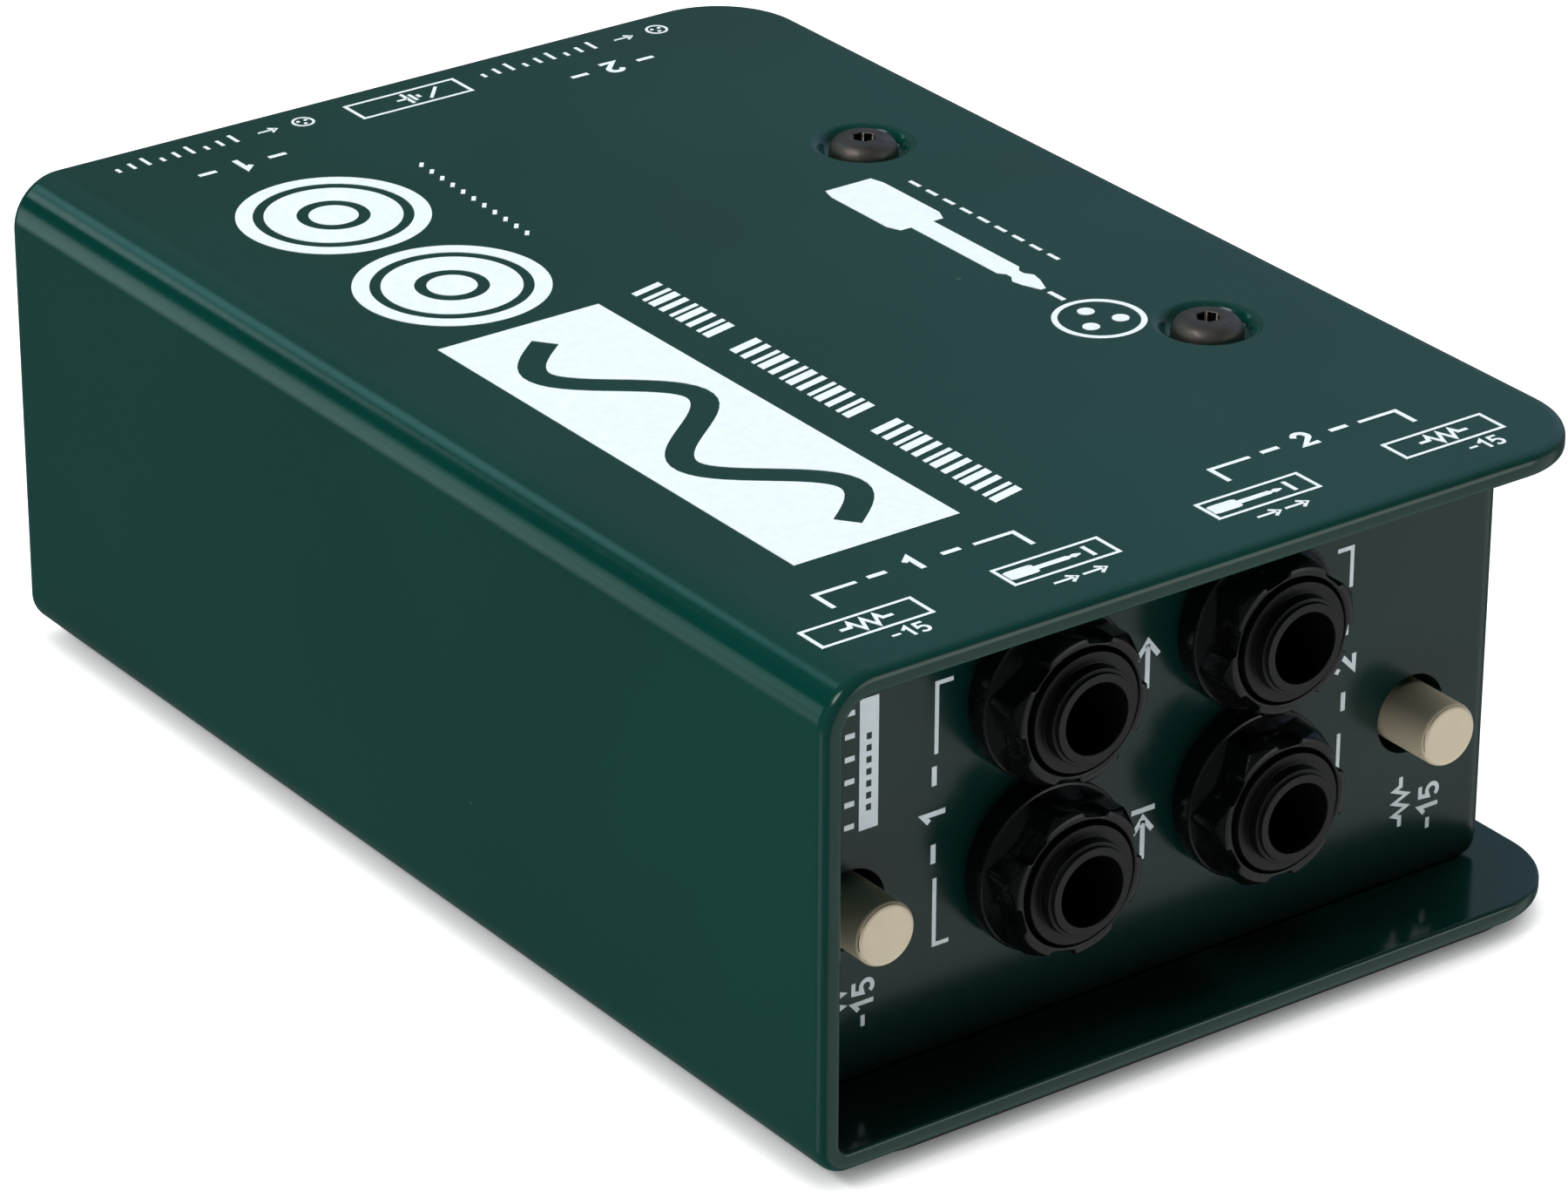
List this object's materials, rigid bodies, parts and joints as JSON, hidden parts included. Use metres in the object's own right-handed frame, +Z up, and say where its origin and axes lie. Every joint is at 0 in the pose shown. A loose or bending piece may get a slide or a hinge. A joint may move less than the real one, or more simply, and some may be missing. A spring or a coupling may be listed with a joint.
{
  "type": "direct injection box",
  "caption": "Stereo passive direct injection box: a bent steel shell overhangs a recessed chassis with instrument jacks and pad buttons in front and balanced outputs behind",
  "frame": {"origin": "bottom centre of the bounding box, on the surface the box stands on", "axes": "+Z up; the input panel with its jacks and pad buttons faces -Y and the output panel faces +Y; the shell's closed wall is on -X and its open side on +X"},
  "size_m": [0.083, 0.127, 0.048],
  "materials": {
    "shell_paint": "fine-textured satin powder coat, dark green",
    "chassis_paint": "fine-textured satin powder coat, dark grey-green",
    "pad_sheet": "matte closed-cell sheet",
    "screw_steel": "dark bronze plating",
    "plated_steel": "bright zinc",
    "jack_plastic": "satin black moulding",
    "nut_plastic": "satin black moulding",
    "washer_fibre": "matte",
    "contact_metal": "tin-plated brass",
    "switch_plastic": "matte moulding",
    "cap_plastic": "warm grey moulding",
    "plunger_plastic": "natural moulding",
    "spring_steel": "drawn wire",
    "board": "green solder mask on glass-epoxy",
    "standoff_brass": "nickel-plated",
    "can_metal": "drawn nickel-iron shield",
    "core_iron": "stacked laminations",
    "copper_winding": "varnished copper wire",
    "connector_metal": "black-plated zinc die casting",
    "connector_insert": "matte moulding",
    "pin_metal": "silver-plated",
    "black_screw": "black-plated",
    "resistor_body": "lacquer with colour bands",
    "capacitor_body": "lacquer",
    "header_plastic": "matte moulding",
    "ribbon": "grey flat cable"
  },
  "bodies": {
    "box": {"outer_shell": "shell_paint", "inner_chassis": "chassis_paint", "non_slip_pad": "pad_sheet", "top_screws": "screw_steel", "bottom_screws": "screw_steel", "clinch_nuts": "plated_steel", "input_jack_left": "jack_plastic", "input_jack_right": "jack_plastic", "thru_jack_left": "jack_plastic", "thru_jack_right": "jack_plastic", "input_nut_left": "nut_plastic", "input_nut_right": "nut_plastic", "thru_nut_left": "nut_plastic", "thru_nut_right": "nut_plastic", "jack_washers": "washer_fibre", "input_contacts_left": "contact_metal", "input_contacts_right": "contact_metal", "thru_contacts_left": "contact_metal", "thru_contacts_right": "contact_metal", "pad_switch_left": "switch_plastic", "pad_switch_right": "switch_plastic", "lift_switch": "switch_plastic", "switch_terminals": "contact_metal", "pad_spring_left": "spring_steel", "pad_spring_right": "spring_steel", "lift_spring": "spring_steel", "input_board": "board", "output_board": "board", "board_standoffs": "standoff_brass", "board_screws": "plated_steel", "transformer_can_left": "can_metal", "transformer_can_right": "can_metal", "transformer_core_left": "core_iron", "transformer_core_right": "core_iron", "transformer_coil_left": "copper_winding", "transformer_coil_right": "copper_winding", "xlr_shell_left": "connector_metal", "xlr_shell_right": "connector_metal", "xlr_insert_left": "connector_insert", "xlr_insert_right": "connector_insert", "xlr_pins_left": "pin_metal", "xlr_pins_right": "pin_metal", "xlr_screws": "black_screw", "pad_resistors": "resistor_body", "filter_capacitors": "capacitor_body", "board_headers": "header_plastic", "board_ribbon": "ribbon"},
    "pad_button_left": {"pad_cap_left": "cap_plastic", "pad_plunger_left": "plunger_plastic"},
    "pad_button_right": {"pad_cap_right": "cap_plastic", "pad_plunger_right": "plunger_plastic"},
    "lift_button": {"lift_cap": "cap_plastic", "lift_plunger": "plunger_plastic"}
  },
  "joints": [
    {"name": "pad_button_left_press", "type": "slide", "parent": "box", "child": "pad_button_left", "axis": [0, 1, 0], "range_m": [0, 0.0025], "stiffness_N_per_m": 800, "deforming": ["pad_spring_left"]},
    {"name": "pad_button_right_press", "type": "slide", "parent": "box", "child": "pad_button_right", "axis": [0, 1, 0], "range_m": [0, 0.0025], "stiffness_N_per_m": 800, "deforming": ["pad_spring_right"]},
    {"name": "lift_button_press", "type": "slide", "parent": "box", "child": "lift_button", "axis": [0, -1, 0], "range_m": [0, 0.0025], "stiffness_N_per_m": 800, "deforming": ["lift_spring"]}
  ]
}
